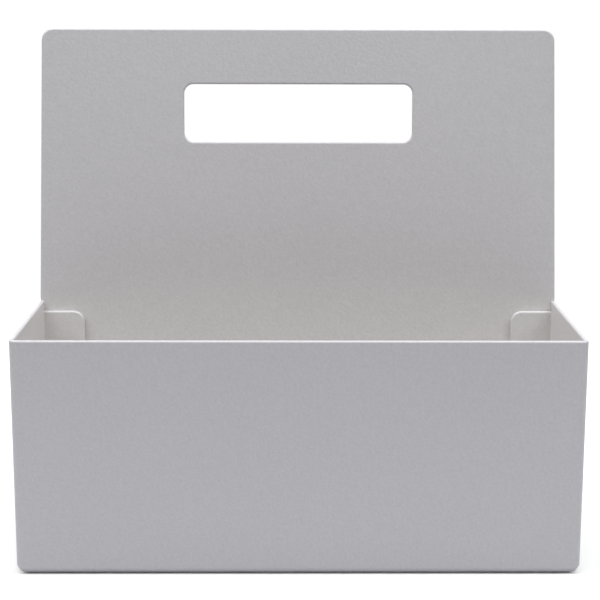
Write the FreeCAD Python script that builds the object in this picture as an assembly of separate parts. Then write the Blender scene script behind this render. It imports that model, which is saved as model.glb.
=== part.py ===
"""Desk cable tray: an open folded-steel box with a tall back panel and hand slot.

Three folded sheets are spot welded to each other through their tabs and lips:
the front wrap (front wall, two sides, rear tabs, bottom lips), the floor pan
that lies on the lips, and the back panel with its bottom flange. Four thin
round pads under the lips keep the painted steel off the desk.

Units are millimetres. +X is to the right seen from the front, -Y is the
front, +Z is up. The desk is at Z = 0.
"""
import FreeCAD, Part
import math
import os

from FreeCAD import Placement, Rotation, Vector

# Overall size
WIDTH = 250.0                 # outside, at the rim and below
RIM_HEIGHT = 106.3            # desk to the top of the front and side walls
OVERALL_HEIGHT = 235.8        # desk to the top of the back panel
RIM_DEPTH = 86.5              # front face to the back panel, at the rim
PANEL_LEAN_DEG = 5.0          # the back panel leans back from vertical
PANEL_TOP_WIDTH = 244.2       # the panel narrows a little above the rim

# Sheet metal
SHEET = 2.0
BEND_INNER = 0.4
BEND_OUTER = BEND_INNER + SHEET
EDGE_ROUND = 0.9              # deburred and painted cut edges
FIT_GAP = 0.2                 # between two sheets that lie on each other

# Back panel
PANEL_CORNER_RADIUS = 5.5
FOOT_CORNER_RADIUS = 2.0
SLOT_WIDTH = 109.2
SLOT_HEIGHT = 27.4
SLOT_BELOW_TOP = 26.1
SLOT_CORNER_RADIUS = 4.5
FLANGE_REACH = 17.0           # bottom flange, forward of its bend
FLANGE_END_GAP = 2.0          # between the flange and each side lip
RELIEF_WIDTH = 1.6            # slits that free a bend from the sheet beside it
RELIEF_DEPTH = 2.0

# Rear tabs of the side walls
TAB_REACH = 21.6              # from the side's outer face
TAB_BELOW_RIM = 5.0
TAB_CORNER_RADIUS = 5.5
TAB_ABOVE_FLOOR = 3.0
TAB_NOTCH = 1.0               # relief above and below the tab's bend

# Bottom lips of the wrap
LIP_REACH = 16.0              # from the wall's outer face
CORNER_CUT_WIDTH = 4.0        # chamfer at the two front bottom corners
CORNER_CUT_HEIGHT = 3.7
LIP_REAR_CLEARANCE = 4.0

# Floor pan
FLOOR_SIDE_CLEARANCE = 0.5
FLOOR_CORNER_CUT = 3.0

# Spot welds: round nuggets that reach into both sheets
NUGGET_DIAMETER = 5.0
NUGGET_DEPTH = 0.6            # into each sheet
TAB_WELD_COUNT = 3
TAB_WELD_END_MARGIN = 18.0
LIP_WELD_POSITIONS_X = (-84.0, -28.0, 28.0, 84.0)
SIDE_WELD_OFFSETS_Y = (42.0, 60.0)      # from the front face

# Pads
PAD_DIAMETER = 10.0
PAD_THICKNESS = 0.5
PAD_FRONT_OFFSET = 25.0       # from the front face
PAD_REAR_OFFSET = 13.0        # from the panel's foot

# Working values, not sizes of the tray
TINY = 1e-3                   # two lengths closer than this are the same
BEYOND = 1.0                  # cutting tools and edge searches reach this far past a face
FAR = WIDTH / 4.0             # further back than anything at the walls' rear edges

# Derived levels and places
LEAN = math.radians(PANEL_LEAN_DEG)
LIP_TOP = PAD_THICKNESS + SHEET
FLOOR_BOTTOM = LIP_TOP + FIT_GAP
FLOOR_TOP = FLOOR_BOTTOM + SHEET
LIP_BEND_TOP = PAD_THICKNESS + BEND_OUTER
HALF = WIDTH / 2.0
PANEL_RISE = ((OVERALL_HEIGHT - RIM_HEIGHT - EDGE_ROUND * (1.0 - math.sin(LEAN)))
              / math.cos(LEAN) + EDGE_ROUND)
PANEL_TOP_BACK = ((PANEL_RISE - EDGE_ROUND) * math.sin(LEAN)
                  + (SHEET - EDGE_ROUND) * math.cos(LEAN) + EDGE_ROUND)
OVERALL_DEPTH = RIM_DEPTH + PANEL_TOP_BACK
FRONT_Y = -OVERALL_DEPTH / 2.0
PANEL_Y = FRONT_Y + RIM_DEPTH          # the panel's front face, at the rim


def box(x0, x1, y0, y1, z0, z1):
    """Box between two corners."""
    return Part.makeBox(x1 - x0, y1 - y0, z1 - z0, Vector(x0, y0, z0))


def on_plane(plane, a, b):
    """Point (a, b) of the XY, XZ or YZ plane."""
    if plane == "XY":
        return Vector(a, b, 0.0)
    if plane == "XZ":
        return Vector(a, 0.0, b)
    return Vector(0.0, a, b)


def polygon(plane, corners):
    """Flat face through the given corners."""
    points = [on_plane(plane, a, b) for a, b in corners]
    return Part.Face(Part.makePolygon(points + [points[0]]))


def bend_face(plane, centre, start_deg, end_deg):
    """Cross-section of a bend: a ring sector of the sheet's thickness."""
    def point(radius, degrees):
        angle = math.radians(degrees)
        return on_plane(plane, centre[0] + radius * math.cos(angle),
                        centre[1] + radius * math.sin(angle))

    middle = (start_deg + end_deg) / 2.0
    outer = Part.Arc(point(BEND_OUTER, start_deg), point(BEND_OUTER, middle),
                     point(BEND_OUTER, end_deg)).toShape()
    end = Part.makeLine(point(BEND_OUTER, end_deg), point(BEND_INNER, end_deg))
    inner = Part.Arc(point(BEND_INNER, end_deg), point(BEND_INNER, middle),
                     point(BEND_INNER, start_deg)).toShape()
    start = Part.makeLine(point(BEND_INNER, start_deg), point(BEND_OUTER, start_deg))
    return Part.Face(Part.Wire([outer, end, inner, start]))


def extruded(face, along, start, end):
    """Solid swept along one axis from start to end."""
    axis = {"X": Vector(1, 0, 0), "Y": Vector(0, 1, 0), "Z": Vector(0, 0, 1)}[along]
    solid = face.extrude(axis * (end - start))
    solid.translate(axis * start)
    return solid


def fused(shapes):
    """One solid from several that touch, with the seams between them removed."""
    return shapes[0].multiFuse(shapes[1:]).removeSplitter()


def mirrored(shape):
    """The same shape on the other side of the tray."""
    return shape.mirror(Vector(0, 0, 0), Vector(1, 0, 0))


def rounded_rectangle(x0, x1, z0, z1, radius):
    """Face in the XZ plane with four round corners."""
    face = polygon("XZ", [(x0, z0), (x1, z0), (x1, z1), (x0, z1)])
    solid = extruded(face, "Y", 0.0, SHEET)
    corners = [edge for edge in solid.Edges if is_along(edge, "Y")]
    return solid.makeFillet(radius, corners)


def is_along(edge, axis):
    """True for a straight edge parallel to the axis."""
    box_of = edge.BoundBox
    lengths = {"X": box_of.XLength, "Y": box_of.YLength, "Z": box_of.ZLength}
    across = [length for name, length in lengths.items() if name != axis]
    return lengths[axis] > TINY and max(across) < TINY


def on_panel(shape):
    """Place a shape drawn upright: X across, Y through, Z up the panel from the rim."""
    leaning = Placement(Vector(0.0, PANEL_Y, RIM_HEIGHT),
                        Rotation(Vector(1, 0, 0), -PANEL_LEAN_DEG))
    placed = shape.copy()
    placed.Placement = leaning.multiply(shape.Placement)
    return placed


def panel_up(height):
    """Distance up the panel, from the rim, of a height above the desk."""
    return (height - RIM_HEIGHT) / math.cos(LEAN)


def panel_face_y(height):
    """Y of the panel's front face at a height above the desk."""
    return PANEL_Y + (height - RIM_HEIGHT) * math.tan(LEAN)


# The flange's bend is tangent to the panel's front face and to the lips' level.
FLANGE_BEND_UP = (LIP_TOP + BEND_INNER - RIM_HEIGHT - BEND_INNER * math.sin(LEAN)) / math.cos(LEAN)
FLANGE_BEND_Y = PANEL_Y + FLANGE_BEND_UP * math.sin(LEAN) - BEND_INNER * math.cos(LEAN)
FLANGE_BEND_Z = LIP_TOP + BEND_INNER
FLANGE_HALF = HALF - LIP_REACH - FLANGE_END_GAP
FOOT_UP = panel_up(PAD_THICKNESS + SHEET * math.sin(LEAN))
TAB_TOP_UP = panel_up(RIM_HEIGHT - TAB_BELOW_RIM)
TAB_BOTTOM_UP = panel_up(FLOOR_TOP + TAB_ABOVE_FLOOR)
SLOT_TOP_UP = PANEL_RISE - SLOT_BELOW_TOP


def rounded_cut_edges(solid, edges):
    """Round the given cut edges by the paint and deburring radius."""
    return solid.makeFillet(EDGE_ROUND, edges)


def panel_plate():
    """The panel, upright, before its flange: tapered above the rim, with the slot."""
    top_half = PANEL_TOP_WIDTH / 2.0
    outline = [(-HALF, FOOT_UP), (HALF, FOOT_UP), (HALF, 0.0),
               (top_half, PANEL_RISE), (-top_half, PANEL_RISE), (-HALF, 0.0)]
    plate = extruded(polygon("XZ", outline), "Y", 0.0, SHEET)
    across = [edge for edge in plate.Edges if is_along(edge, "Y")]
    foot_corners = [edge for edge in across if edge.BoundBox.ZMax < FOOT_UP + BEYOND]
    plate = plate.makeFillet(FOOT_CORNER_RADIUS, foot_corners)
    top_corners = [edge for edge in plate.Edges
                   if is_along(edge, "Y") and edge.BoundBox.ZMin > PANEL_RISE - BEYOND]
    plate = plate.makeFillet(PANEL_CORNER_RADIUS, top_corners)
    slot = rounded_rectangle(-SLOT_WIDTH / 2.0, SLOT_WIDTH / 2.0,
                             SLOT_TOP_UP - SLOT_HEIGHT, SLOT_TOP_UP, SLOT_CORNER_RADIUS)
    plate = plate.cut(slot)
    above_foot = FOOT_UP + FOOT_CORNER_RADIUS + BEYOND
    cut_edges = [edge for edge in plate.Edges
                 if edge.BoundBox.YLength < TINY and edge.BoundBox.ZMax > above_foot]
    return rounded_cut_edges(plate, cut_edges)


def flange():
    """Bottom flange of the panel with its bend, at its final place."""
    bend = extruded(bend_face("YZ", (FLANGE_BEND_Y, FLANGE_BEND_Z), -90.0, -PANEL_LEAN_DEG),
                    "X", -FLANGE_HALF, FLANGE_HALF)
    plate = box(-FLANGE_HALF, FLANGE_HALF, FLANGE_BEND_Y - FLANGE_REACH, FLANGE_BEND_Y,
                PAD_THICKNESS, LIP_TOP)
    corners = [edge for edge in plate.Edges
               if is_along(edge, "Z") and edge.BoundBox.YMax < FLANGE_BEND_Y - BEYOND]
    return fused([plate.makeFillet(BEND_OUTER, corners), bend])


def back_panel():
    """Tall leaning panel, its hand slot and its bottom flange."""
    relief_half = FLANGE_HALF + RELIEF_WIDTH
    flange_room = box(-relief_half, relief_half, -BEYOND, SHEET + BEYOND,
                      FOOT_UP - BEYOND, FLANGE_BEND_UP)
    slit = box(FLANGE_HALF, relief_half, -BEYOND, SHEET + BEYOND,
               FLANGE_BEND_UP - BEYOND, FLANGE_BEND_UP + RELIEF_DEPTH)
    plate = panel_plate()
    for tool in (flange_room, slit, mirrored(slit)):
        plate = plate.cut(tool)
    return fused([on_panel(plate), flange()])


def u_profile(back_y):
    """Plan view of the front wall, its two bends and the two sides."""
    inside = HALF - SHEET
    front_in = FRONT_Y + SHEET
    centre = (HALF - BEND_OUTER, FRONT_Y + BEND_OUTER)
    front = box(-centre[0], centre[0], FRONT_Y, front_in, 0.0, 1.0)
    side = box(inside, HALF, centre[1], back_y, 0.0, 1.0)
    bend = extruded(bend_face("XY", centre, -90.0, 0.0), "Z", 0.0, 1.0)
    ring = fused([front, side, bend, mirrored(side), mirrored(bend)])
    return [face for face in ring.Faces
            if face.BoundBox.ZMax < 1e-6 and face.BoundBox.XLength > inside][0]


def wall_ring():
    """Front and side walls with rear edges cut to the leaning panel."""
    walls = extruded(u_profile(PANEL_Y + 2.0 * SHEET), "Z", LIP_BEND_TOP, RIM_HEIGHT)
    behind = box(-WIDTH, WIDTH, -FIT_GAP, FAR, -RIM_HEIGHT - FAR, FAR)
    walls = walls.cut(on_panel(behind))
    rim_edges = [edge for edge in walls.Edges
                 if edge.BoundBox.ZMin > RIM_HEIGHT - TINY
                 and not (is_along(edge, "X") and edge.BoundBox.YMin > 0.0)]
    walls = rounded_cut_edges(walls, rim_edges)
    room = box(-WIDTH, WIDTH, -FIT_GAP - BEND_OUTER, BEYOND,
               TAB_BOTTOM_UP - TAB_NOTCH, TAB_TOP_UP + TAB_NOTCH)
    return walls.cut(on_panel(room))


def rear_tab():
    """Right-hand tab that lies on the panel, with its bend, at its final place."""
    centre = (HALF - BEND_OUTER, -FIT_GAP - BEND_OUTER)
    bend = extruded(bend_face("XY", centre, 0.0, 90.0), "Z", TAB_BOTTOM_UP, TAB_TOP_UP)
    plate = box(HALF - TAB_REACH, centre[0], -FIT_GAP - SHEET, -FIT_GAP,
                TAB_BOTTOM_UP, TAB_TOP_UP)
    corners = [edge for edge in plate.Edges
               if is_along(edge, "Y") and edge.BoundBox.XMax < centre[0] - BEYOND]
    plate = plate.makeFillet(TAB_CORNER_RADIUS, corners)
    tab = fused([plate, bend])
    front_edges = [edge for edge in tab.Edges if is_tab_front_edge(edge)]
    return on_panel(rounded_cut_edges(tab, front_edges))


def is_tab_front_edge(edge):
    """True for the outline of the tab's front face and its bend's inner edges."""
    bounds = edge.BoundBox
    front = -FIT_GAP - SHEET
    on_front = abs(bounds.YMax - front) < TINY and bounds.YLength < TINY
    inner_arc = (abs(bounds.YMax - front) < TINY and bounds.ZLength < TINY
                 and abs(bounds.YLength - BEND_INNER) < TINY)
    bend_seam = is_along(edge, "Z") and bounds.XMin > HALF - BEND_OUTER - TINY
    return (on_front and not bend_seam) or inner_arc


def front_lip():
    """Lip along the bottom of the front wall, mitred at both ends."""
    bend_end = HALF - BEND_OUTER
    bend = extruded(bend_face("YZ", (FRONT_Y + BEND_OUTER, LIP_BEND_TOP), 180.0, 270.0),
                    "X", -bend_end, bend_end)
    near = FRONT_Y + BEND_OUTER
    far = FRONT_Y + LIP_REACH
    root = HALF - CORNER_CUT_WIDTH
    tip = root - (LIP_REACH - BEND_OUTER)
    plate = extruded(polygon("XY", [(-root, near), (root, near), (tip, far), (-tip, far)]),
                     "Z", PAD_THICKNESS, LIP_TOP)
    return [bend, plate]


def side_lip():
    """Lip along the bottom of the right-hand side wall."""
    start = FRONT_Y + CORNER_CUT_WIDTH
    end = panel_face_y(LIP_BEND_TOP) - LIP_REAR_CLEARANCE
    root = HALF - BEND_OUTER
    tip = HALF - LIP_REACH
    mitre = root - tip
    bend = extruded(bend_face("XZ", (root, LIP_BEND_TOP), -90.0, 0.0), "Y", start, end)
    plate = extruded(polygon("XY", [(root, start), (root, end), (tip, end), (tip, start + mitre)]),
                     "Z", PAD_THICKNESS, LIP_TOP)
    return [bend, plate]


def corner_skirt():
    """The front bend carried down beside the lips, to be chamfered."""
    bend = bend_face("XY", (HALF - BEND_OUTER, FRONT_Y + BEND_OUTER), -90.0, 0.0)
    return extruded(bend, "Z", PAD_THICKNESS, LIP_BEND_TOP)


def corner_chamfer():
    """Tool for the chamfered right-hand bottom corner of the front wall."""
    inner = HALF - CORNER_CUT_WIDTH
    slope = CORNER_CUT_HEIGHT / CORNER_CUT_WIDTH
    triangle = [(inner - BEYOND, PAD_THICKNESS - BEYOND * slope),
                (HALF + BEYOND, PAD_THICKNESS - BEYOND * slope),
                (HALF + BEYOND, PAD_THICKNESS + CORNER_CUT_HEIGHT + BEYOND * slope)]
    return extruded(polygon("XZ", triangle), "Y", FRONT_Y - BEYOND, FRONT_Y + CORNER_CUT_WIDTH)


def front_wrap():
    """Front wall, sides, rear tabs and bottom lips, folded from one sheet."""
    right = [rear_tab(), corner_skirt()] + side_lip()
    left = [mirrored(piece) for piece in right]
    wrap = fused([wall_ring()] + front_lip() + right + left)
    for tool in (corner_chamfer(), mirrored(corner_chamfer())):
        wrap = wrap.cut(tool)
    return wrap


def floor_pan():
    """Flat floor that lies on the lips and on the panel's flange."""
    side = HALF - SHEET - FLOOR_SIDE_CLEARANCE
    front = FRONT_Y + SHEET + FLOOR_SIDE_CLEARANCE
    back = panel_face_y(FLOOR_BOTTOM) - BEND_INNER
    cut = FLOOR_CORNER_CUT
    outline = [(-side + cut, front), (side - cut, front), (side, front + cut),
               (side, back - cut), (side - cut, back), (-side + cut, back),
               (-side, back - cut), (-side, front + cut)]
    return extruded(polygon("XY", outline), "Z", FLOOR_BOTTOM, FLOOR_TOP)


def nugget(position, axis):
    """One weld nugget centred in the gap between two sheets."""
    height = FIT_GAP + 2.0 * NUGGET_DEPTH
    return Part.makeCylinder(NUGGET_DIAMETER / 2.0, height,
                             position - axis * (height / 2.0), axis)


def tab_nuggets():
    """Welds between the rear tabs and the panel."""
    low = TAB_BOTTOM_UP + TAB_WELD_END_MARGIN
    high = TAB_TOP_UP - TAB_WELD_END_MARGIN
    across = HALF - (TAB_REACH + BEND_OUTER) / 2.0
    nuggets = []
    for index in range(TAB_WELD_COUNT):
        up = low + (high - low) * index / (TAB_WELD_COUNT - 1)
        for side in (-1.0, 1.0):
            middle = Vector(side * across, -FIT_GAP / 2.0, up)
            nuggets.append(on_panel(nugget(middle, Vector(0, 1, 0))))
    return nuggets


def floor_nuggets():
    """Welds between the floor pan and the lips and flange below it."""
    level = LIP_TOP + FIT_GAP / 2.0
    up = Vector(0, 0, 1)
    lip_middle = (LIP_REACH + BEND_OUTER) / 2.0
    nuggets = []
    for x in LIP_WELD_POSITIONS_X:
        nuggets.append(nugget(Vector(x, FRONT_Y + lip_middle, level), up))
        nuggets.append(nugget(Vector(x, FLANGE_BEND_Y - FLANGE_REACH / 2.0, level), up))
    for offset in SIDE_WELD_OFFSETS_Y:
        for side in (-1.0, 1.0):
            nuggets.append(nugget(Vector(side * (HALF - lip_middle), FRONT_Y + offset, level), up))
    return nuggets


def pads():
    """Four round pads under the side lips."""
    x = HALF - (LIP_REACH + BEND_OUTER) / 2.0
    rear = panel_face_y(PAD_THICKNESS) - LIP_REAR_CLEARANCE - PAD_REAR_OFFSET
    places = [(side * x, y) for side in (-1.0, 1.0) for y in (FRONT_Y + PAD_FRONT_OFFSET, rear)]
    return [Part.makeCylinder(PAD_DIAMETER / 2.0, PAD_THICKNESS, Vector(px, py, 0.0))
            for px, py in places]


def without(solid, tools):
    """The solid with a pocket for each tool."""
    for tool in tools:
        solid = solid.cut(tool)
    return solid


def main():
    """Write one STEP file for each separate piece."""
    tab_welds = tab_nuggets()
    floor_welds = floor_nuggets()
    welds = tab_welds + floor_welds
    pieces = {
        "front_wrap": without(front_wrap(), welds),
        "back_panel": without(back_panel(), welds),
        "floor_pan": without(floor_pan(), floor_welds),
        "tab_spot_welds": Part.makeCompound(tab_welds),
        "floor_spot_welds": Part.makeCompound(floor_welds),
        "desk_pads": Part.makeCompound(pads()),
    }
    os.makedirs("parts", exist_ok=True)
    for name, shape in pieces.items():
        shape.exportStep("parts/" + name + ".step")


main()
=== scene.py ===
import math

import bmesh
import bpy
from mathutils import Matrix, Vector

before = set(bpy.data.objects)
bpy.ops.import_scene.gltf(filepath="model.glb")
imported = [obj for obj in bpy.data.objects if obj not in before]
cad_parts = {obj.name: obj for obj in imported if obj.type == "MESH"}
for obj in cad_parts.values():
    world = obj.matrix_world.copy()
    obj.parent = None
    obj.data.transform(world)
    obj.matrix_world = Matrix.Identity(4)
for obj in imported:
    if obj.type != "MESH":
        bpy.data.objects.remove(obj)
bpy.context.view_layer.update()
scene = bpy.context.scene
scene.view_settings.view_transform = "Standard"
scene.view_settings.look = "None"

# Colours, linear
COAT_COLOUR = (0.645, 0.620, 0.575)
WELD_COLOUR = (0.42, 0.41, 0.40)
PAD_COLOUR = (0.016, 0.016, 0.017)
FLOOR_SEEN = (0.98, 0.97, 0.88)
FLOOR_BOUNCE = (0.44, 0.45, 0.48)
LAMP_TINT = (0.96, 0.98, 1.09)
SKY_COLOUR = (1.0, 1.0, 1.0)

# Strength of the surroundings, as a light and as they are seen
SKY_LIGHT = 0.0
SKY_SEEN = 1.02

# Noise scales, in cycles per metre
COAT_GRAIN = 1500.0
COAT_PEEL = 700.0
COAT_MOTTLE = 260.0
COAT_DRIFT = 14.0
WELD_RIPPLE = 1500.0
PAD_PITS = 3200.0

# Depth of the surface relief, in metres
COAT_PEEL_DEPTH = 0.00007
COAT_GRAIN_DEPTH = 0.00003
WELD_RIPPLE_DEPTH = 0.00008
PAD_PIT_DEPTH = 0.00005

# The stretch of a noise's values that remap() spreads over its output
NOISE_LOW = 0.25
NOISE_HIGH = 0.75

# Stage, in metres
FLOOR_RADIUS = 0.6
FLOOR_SEGMENTS = 96
TRAY_MIDDLE = (0.0, 0.0, 0.1)
FLOOR_MIDDLE = (0.0, 0.0, 0.0)

# Lamps: name, place, target, width, height, watts
LAMPS = [
    ("ceiling", (0.0, 0.0, 3.2), FLOOR_MIDDLE, 2.6, 2.6, 50.5),
    ("front", (0.0, -1.9, 1.2), TRAY_MIDDLE, 1.6, 1.0, 10.7),
    ("left", (-1.2, -0.3, 1.6), TRAY_MIDDLE, 1.3, 1.3, 25.8),
    ("back", (0.0, 1.9, 1.2), TRAY_MIDDLE, 1.6, 1.0, 14.0),
    ("right", (1.2, -0.3, 1.6), TRAY_MIDDLE, 1.3, 1.3, 24.0),
]

# Camera: metres, degrees and millimetres of lens
CAMERA_PLACE = Vector((-0.0051, -0.6772, 0.2536))
CAMERA_YAW = 0.489
CAMERA_PITCH = 11.643
CAMERA_ROLL = -0.162
CAMERA_LENS = 90.0
CAMERA_SENSOR = 36.0
CAMERA_NEAR = 0.01
CAMERA_FAR = 20.0


def nodes_of(data):
    """The emptied node tree of a material or a world."""
    data.use_nodes = True
    tree = data.node_tree
    tree.nodes.clear()
    return tree


def add(tree, kind, **settings):
    """A new node with the given settings."""
    node = tree.nodes.new(kind)
    for name, value in settings.items():
        setattr(node, name, value)
    return node


def object_coords(tree):
    return add(tree, "ShaderNodeTexCoord").outputs["Object"]


def noise(tree, coords, scale, detail, roughness=0.5):
    node = add(tree, "ShaderNodeTexNoise")
    node.inputs["Scale"].default_value = scale
    node.inputs["Detail"].default_value = detail
    node.inputs["Roughness"].default_value = roughness
    tree.links.new(coords, node.inputs["Vector"])
    return node.outputs["Fac"]


def remap(tree, value, low, high):
    """A noise's usual values spread over low to high."""
    node = add(tree, "ShaderNodeMapRange")
    node.inputs["From Min"].default_value = NOISE_LOW
    node.inputs["From Max"].default_value = NOISE_HIGH
    node.inputs["To Min"].default_value = low
    node.inputs["To Max"].default_value = high
    tree.links.new(value, node.inputs["Value"])
    return node.outputs["Result"]


def product(tree, first, second):
    node = add(tree, "ShaderNodeMath", operation="MULTIPLY")
    tree.links.new(first, node.inputs[0])
    tree.links.new(second, node.inputs[1])
    return node.outputs[0]


def bump(tree, height, distance, normal=None):
    """Fine relief, on top of an earlier one if that is given."""
    node = add(tree, "ShaderNodeBump")
    node.inputs["Distance"].default_value = distance
    node.inputs["Strength"].default_value = 1.0
    tree.links.new(height, node.inputs["Height"])
    if normal is not None:
        tree.links.new(normal, node.inputs["Normal"])
    return node.outputs["Normal"]


def tinted(tree, colour, factor):
    """The colour multiplied by a grey factor that varies over the surface."""
    node = add(tree, "ShaderNodeVectorMath", operation="SCALE")
    node.inputs[0].default_value = colour
    tree.links.new(factor, node.inputs["Scale"])
    return node.outputs["Vector"]


def finish_surface(tree, colour, roughness, relief, metallic=0.0):
    """Principled surface from its three varying inputs."""
    surface = add(tree, "ShaderNodeBsdfPrincipled")
    surface.inputs["Metallic"].default_value = metallic
    tree.links.new(colour, surface.inputs["Base Color"])
    tree.links.new(roughness, surface.inputs["Roughness"])
    tree.links.new(relief, surface.inputs["Normal"])
    output = add(tree, "ShaderNodeOutputMaterial")
    tree.links.new(surface.outputs["BSDF"], output.inputs["Surface"])


def powder_coat():
    """Matt textured powder coat: soft orange peel, fine grain, mottling and faint tone drift."""
    material = bpy.data.materials.new("powder_coat")
    tree = nodes_of(material)
    coords = object_coords(tree)
    grain = noise(tree, coords, COAT_GRAIN, 3.0, 0.6)
    peel = noise(tree, coords, COAT_PEEL, 2.0)
    mottle = noise(tree, coords, COAT_MOTTLE, 2.0)
    drift = noise(tree, coords, COAT_DRIFT, 2.0)
    tone = product(tree, remap(tree, grain, 0.945, 1.055), remap(tree, drift, 0.99, 1.01))
    tone = product(tree, tone, remap(tree, peel, 0.965, 1.035))
    tone = product(tree, tone, remap(tree, mottle, 0.987, 1.013))
    relief = bump(tree, peel, COAT_PEEL_DEPTH)
    relief = bump(tree, grain, COAT_GRAIN_DEPTH, relief)
    finish_surface(tree, tinted(tree, COAT_COLOUR, tone), remap(tree, peel, 0.32, 0.42), relief)
    return material


def weld_metal():
    """Bare fused steel with a rippled, darker skin."""
    material = bpy.data.materials.new("weld_steel")
    tree = nodes_of(material)
    ripple = noise(tree, object_coords(tree), WELD_RIPPLE, 4.0, 0.6)
    colour = tinted(tree, WELD_COLOUR, remap(tree, ripple, 0.8, 1.2))
    relief = bump(tree, ripple, WELD_RIPPLE_DEPTH)
    finish_surface(tree, colour, remap(tree, ripple, 0.35, 0.6), relief, metallic=1.0)
    return material


def pad_rubber():
    """Dark pad with a finely pitted face."""
    material = bpy.data.materials.new("pad_rubber")
    tree = nodes_of(material)
    pits = noise(tree, object_coords(tree), PAD_PITS, 3.0, 0.6)
    colour = tinted(tree, PAD_COLOUR, remap(tree, pits, 0.7, 1.3))
    finish_surface(tree, colour, remap(tree, pits, 0.7, 0.9), bump(tree, pits, PAD_PIT_DEPTH))
    return material


def dress_nodes():
    """Give every CAD node its material."""
    coat, welds, pads = powder_coat(), weld_metal(), pad_rubber()
    looks = {
        "front_wrap": coat,
        "back_panel": coat,
        "floor_pan": coat,
        "tab_spot_welds": welds,
        "floor_spot_welds": welds,
        "desk_pads": pads,
    }
    for name, material in looks.items():
        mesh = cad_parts[name].data
        mesh.materials.clear()
        mesh.materials.append(material)


def blend_by_ray(tree, bounced, seen, output_kind):
    """The stage looks white, yet bounces only as much light as a mid grey table would."""
    path = add(tree, "ShaderNodeLightPath")
    mix = add(tree, "ShaderNodeMixShader")
    tree.links.new(path.outputs["Is Camera Ray"], mix.inputs["Fac"])
    tree.links.new(bounced.outputs[0], mix.inputs[1])
    tree.links.new(seen.outputs[0], mix.inputs[2])
    output = add(tree, output_kind)
    tree.links.new(mix.outputs[0], output.inputs["Surface"])


def diffuse(tree, colour):
    node = add(tree, "ShaderNodeBsdfDiffuse")
    node.inputs["Color"].default_value = (*colour, 1.0)
    return node


def glow(tree, strength):
    node = add(tree, "ShaderNodeBackground")
    node.inputs["Color"].default_value = (*SKY_COLOUR, 1.0)
    node.inputs["Strength"].default_value = strength
    return node


def stage_floor():
    """Pale round floor. Its edge isn't seen, because the floor and what is behind it are white."""
    mesh = bpy.data.meshes.new("floor")
    shape = bmesh.new()
    bmesh.ops.create_circle(shape, cap_ends=True, segments=FLOOR_SEGMENTS, radius=FLOOR_RADIUS)
    shape.to_mesh(mesh)
    shape.free()
    floor = bpy.data.objects.new("floor", mesh)
    scene.collection.objects.link(floor)
    material = bpy.data.materials.new("floor")
    tree = nodes_of(material)
    blend_by_ray(tree, diffuse(tree, FLOOR_BOUNCE), diffuse(tree, FLOOR_SEEN), "ShaderNodeOutputMaterial")
    mesh.materials.append(material)


def studio_world():
    """Surroundings that are seen as white and give no light: the lamps do that."""
    world = bpy.data.worlds.new("studio")
    scene.world = world
    tree = nodes_of(world)
    blend_by_ray(tree, glow(tree, SKY_LIGHT), glow(tree, SKY_SEEN), "ShaderNodeOutputWorld")


def softbox(name, place, target, width, height, watts):
    """Rectangular lamp that faces its target."""
    light = bpy.data.lights.new(name, "AREA")
    light.shape = "RECTANGLE"
    light.size = width
    light.size_y = height
    light.energy = watts
    light.color = LAMP_TINT
    lamp = bpy.data.objects.new(name, light)
    scene.collection.objects.link(lamp)
    lamp.location = place
    lamp.rotation_mode = "QUATERNION"
    lamp.rotation_quaternion = (Vector(target) - Vector(place)).to_track_quat("-Z", "Y")
    lamp.visible_camera = False


def camera():
    """Camera in front of the tray and above it, looking slightly down."""
    data = bpy.data.cameras.new("camera")
    data.sensor_width = CAMERA_SENSOR
    data.lens = CAMERA_LENS
    data.clip_start = CAMERA_NEAR
    data.clip_end = CAMERA_FAR
    eye = bpy.data.objects.new("camera", data)
    scene.collection.objects.link(eye)
    yaw, pitch, roll = (math.radians(a) for a in (CAMERA_YAW, CAMERA_PITCH, CAMERA_ROLL))
    ahead = Vector((math.sin(yaw) * math.cos(pitch), math.cos(yaw) * math.cos(pitch), -math.sin(pitch)))
    right = Vector((math.cos(yaw), -math.sin(yaw), 0.0))
    down = ahead.cross(right)
    across = right * math.cos(roll) + down * math.sin(roll)
    below = down * math.cos(roll) - right * math.sin(roll)
    turn = Matrix((across, -below, -ahead)).transposed()
    eye.matrix_world = Matrix.Translation(CAMERA_PLACE) @ turn.to_4x4()
    scene.camera = eye


dress_nodes()
stage_floor()
studio_world()
for lamp_row in LAMPS:
    softbox(*lamp_row)
camera()
